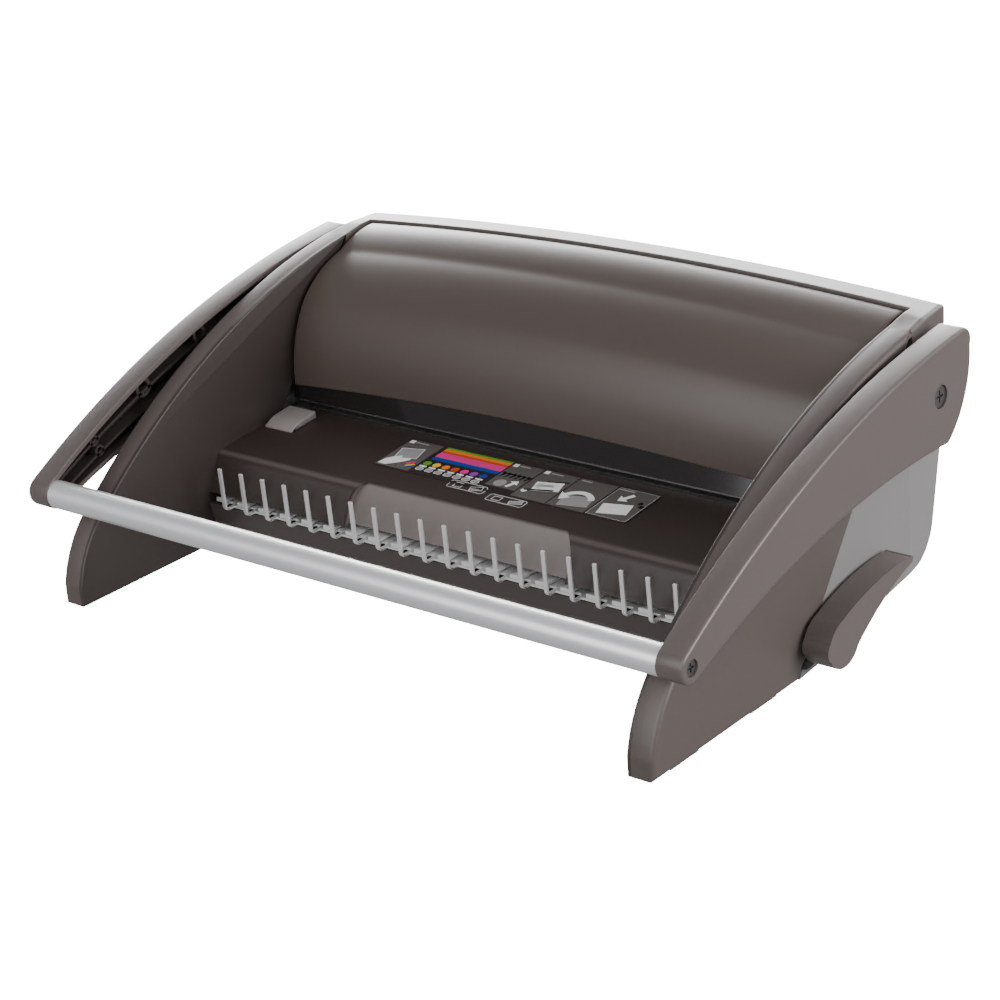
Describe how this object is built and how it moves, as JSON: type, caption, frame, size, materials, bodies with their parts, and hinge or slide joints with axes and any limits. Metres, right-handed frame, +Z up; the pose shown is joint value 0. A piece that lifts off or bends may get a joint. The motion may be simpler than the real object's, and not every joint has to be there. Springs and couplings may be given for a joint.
{
  "type": "comb binding machine",
  "caption": "Desktop comb binding machine with a loop punching handle, domed cover, paper slot, a row of comb tines and a side lever that opens the comb.",
  "frame": {"origin": "centre of the bounding box on the table, midway between the side plates", "axes": "+X across the machine towards the side lever, +Y towards the back, +Z up"},
  "size_m": [0.3786, 0.238, 0.1385],
  "materials": {
    "body_plastic": "fine satin moulding",
    "housing_plastic": "satin moulding, lighter than the body",
    "cover_plastic": "smooth semi-gloss moulding",
    "strip_plastic": "black, high gloss",
    "arm_plastic": "satin moulding",
    "guide_plastic": "satin moulding",
    "tray_plastic": "fine satin moulding",
    "label_film": "printed film",
    "grip_aluminium": "satin anodised",
    "bright_steel": "bright plated",
    "screw_steel": "plated",
    "plate_steel": "rolled and deburred",
    "mechanism_steel": "machined",
    "bush_brass": "turned",
    "pad_rubber": "matt"
  },
  "bodies": {
    "machine_frame": {"left_side_liner": "body_plastic", "right_side_liner": "body_plastic", "left_side_shell": "body_plastic", "right_side_shell": "body_plastic", "left_front_pad": "pad_rubber", "right_front_pad": "pad_rubber", "left_middle_pad": "pad_rubber", "right_middle_pad": "pad_rubber", "left_rear_pad": "pad_rubber", "right_rear_pad": "pad_rubber", "left_frame_plate": "plate_steel", "right_frame_plate": "plate_steel", "left_pivot_bush": "bush_brass", "right_pivot_bush": "bush_brass", "left_lever_bush": "bush_brass", "right_lever_bush": "bush_brass", "front_cover": "cover_plastic", "rear_housing": "housing_plastic", "top_band": "body_plastic", "paper_deck": "body_plastic", "instruction_label": "label_film", "slot_strip": "strip_plastic", "die_plate": "plate_steel", "stripper_plate": "plate_steel", "left_guide_post": "bright_steel", "right_guide_post": "bright_steel", "paper_stop": "plate_steel", "comb_tines": "bright_steel", "left_tine_post": "body_plastic", "right_tine_post": "body_plastic", "front_apron": "body_plastic", "base_pan": "body_plastic"},
    "handle": {"left_arm": "arm_plastic", "right_arm": "arm_plastic", "handle_tube": "grip_aluminium", "left_tube_plug": "body_plastic", "right_tube_plug": "body_plastic", "left_tube_screw": "screw_steel", "right_tube_screw": "screw_steel", "left_pivot_screw": "screw_steel", "right_pivot_screw": "screw_steel", "pivot_shaft": "mechanism_steel", "left_pinion": "mechanism_steel", "right_pinion": "mechanism_steel"},
    "punch": {"punch_pins": "mechanism_steel", "left_punch_rack": "mechanism_steel", "right_punch_rack": "mechanism_steel"},
    "opener": {"opening_lever": "arm_plastic", "lever_shaft": "mechanism_steel", "left_sector_gear": "mechanism_steel", "right_sector_gear": "mechanism_steel"},
    "hook_slide": {"comb_hooks": "bright_steel", "hook_carriage": "tray_plastic", "left_hook_rack": "tray_plastic", "right_hook_rack": "tray_plastic"},
    "guide": {"edge_guide": "guide_plastic"},
    "tray": {"chip_tray": "tray_plastic"}
  },
  "joints": [
    {"name": "handle_lift", "type": "hinge", "parent": "machine_frame", "child": "handle", "pos_m": [0, 0.0809, 0.1029], "axis": [-1, 0, 0], "range_deg": [0, 60]},
    {"name": "punch_travel", "type": "slide", "parent": "machine_frame", "child": "punch", "axis": [0, -0.0893, 0.996], "range_m": [0, 0.0084]},
    {"name": "lever_turn", "type": "hinge", "parent": "machine_frame", "child": "opener", "pos_m": [0, -0.004, 0.0145], "axis": [1, 0, 0], "range_deg": [0, 42]},
    {"name": "hook_travel", "type": "slide", "parent": "machine_frame", "child": "hook_slide", "axis": [0, -1, 0], "range_m": [0, 0.012]},
    {"name": "guide_set", "type": "slide", "parent": "machine_frame", "child": "guide", "axis": [1, 0, 0], "range_m": [0, 0.012]},
    {"name": "tray_pull", "type": "slide", "parent": "machine_frame", "child": "tray", "axis": [0, 1, 0], "range_m": [0, 0.09]}
  ],
  "couplings": [
    {"joint": "punch_travel", "follows": "handle_lift", "m_per_rad": 0.008},
    {"joint": "hook_travel", "follows": "lever_turn", "m_per_rad": 0.016}
  ]
}
